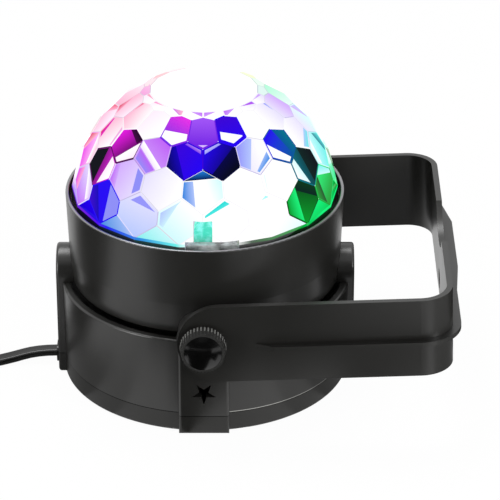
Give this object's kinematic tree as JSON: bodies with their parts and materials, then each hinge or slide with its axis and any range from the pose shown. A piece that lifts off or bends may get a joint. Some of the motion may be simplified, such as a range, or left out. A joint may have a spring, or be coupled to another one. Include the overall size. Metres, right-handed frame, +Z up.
{
  "type": "led disco ball light",
  "caption": "Round table and wall party light: black base and head, turning faceted clear dome lit in colours, strap handle on knurled knobs, flat twin mains lead.",
  "frame": {"origin": "on the base axis, at the floor under the foot pad", "axes": "+Z up, -Y the front with a knob, +X towards the end of the lowered strap handle"},
  "size_m": [0.2601, 0.1166, 0.0943],
  "materials": {
    "shell_black": "satin black moulding",
    "knob_black": "glossy black",
    "crystal_clear": "clear faceted acrylic",
    "inner_black": "matt black",
    "inner_white": "matt white",
    "board_green": "solder mask",
    "steel": "zinc plated",
    "brass": "plain",
    "rubber_black": "matt rubber",
    "lens_clear": "clear lens"
  },
  "bodies": {
    "base": {"base_shell": "shell_black", "bottom_cover": "shell_black", "head_shell": "shell_black", "foot_pad": "rubber_black", "cord_gland": "rubber_black", "mains_leads": "rubber_black", "power_board": "board_green", "transformer": "steel", "capacitor": "inner_black", "wire_bundle": "rubber_black", "head_bottom": "inner_black", "head_tray": "inner_black", "spin_motor": "steel", "deck_plate": "inner_black", "led_board": "inner_white", "ir_receiver": "inner_white", "receiver_holder": "inner_white", "control_board": "board_green", "microphone": "steel", "power_cord": "rubber_black", "cord_coil": "rubber_black", "coil_tie": "inner_black", "plug_body": "rubber_black", "plug_pin_left": "brass", "plug_pin_right": "brass", "front_insert": "brass", "rear_insert": "brass", "cover_screw_1": "steel", "arm_screw_1": "steel", "cover_screw_2": "steel", "arm_screw_2": "steel", "cover_screw_3": "steel", "arm_screw_3": "steel", "cover_screw_4": "steel", "arm_screw_4": "steel", "motor_screw_1": "steel", "motor_screw_2": "steel", "deck_screw_1": "steel", "deck_screw_2": "steel", "deck_screw_3": "steel", "led_red": "inner_white", "lens_red": "lens_clear", "led_green": "inner_white", "lens_green": "lens_clear", "led_blue": "inner_white", "lens_blue": "lens_clear"},
    "handle": {"handle": "shell_black", "handle_ledge": "shell_black", "front_washer": "rubber_black", "rear_washer": "rubber_black"},
    "front_knob": {"front_knob": "knob_black", "front_cap": "knob_black", "front_stud": "steel"},
    "rear_knob": {"rear_knob": "knob_black", "rear_cap": "knob_black", "rear_stud": "steel"},
    "dome": {"crystal_dome": "crystal_clear", "dome_ring": "inner_white"},
    "pinion": {"pinion": "inner_white", "motor_shaft": "steel"}
  },
  "joints": [
    {"name": "handle_swing", "type": "hinge", "parent": "base", "child": "handle", "pos_m": [0, 0, 0.0336], "axis": [0, -1, 0], "range_deg": [-16, 192]},
    {"name": "front_knob_turn", "type": "hinge", "parent": "base", "child": "front_knob", "pos_m": [0, 0, 0.0336], "axis": [0, -1, 0], "continuous": true},
    {"name": "rear_knob_turn", "type": "hinge", "parent": "base", "child": "rear_knob", "pos_m": [0, 0, 0.0336], "axis": [0, 1, 0], "continuous": true},
    {"name": "dome_spin", "type": "hinge", "parent": "base", "child": "dome", "pos_m": [0, 0, 0], "axis": [0, 0, 1], "continuous": true},
    {"name": "pinion_spin", "type": "hinge", "parent": "base", "child": "pinion", "pos_m": [0.01417, 0.02454, 0], "axis": [0, 0, 1], "continuous": true}
  ],
  "couplings": [
    {"joint": "pinion_spin", "follows": "dome_spin", "ratio": 6}
  ]
}
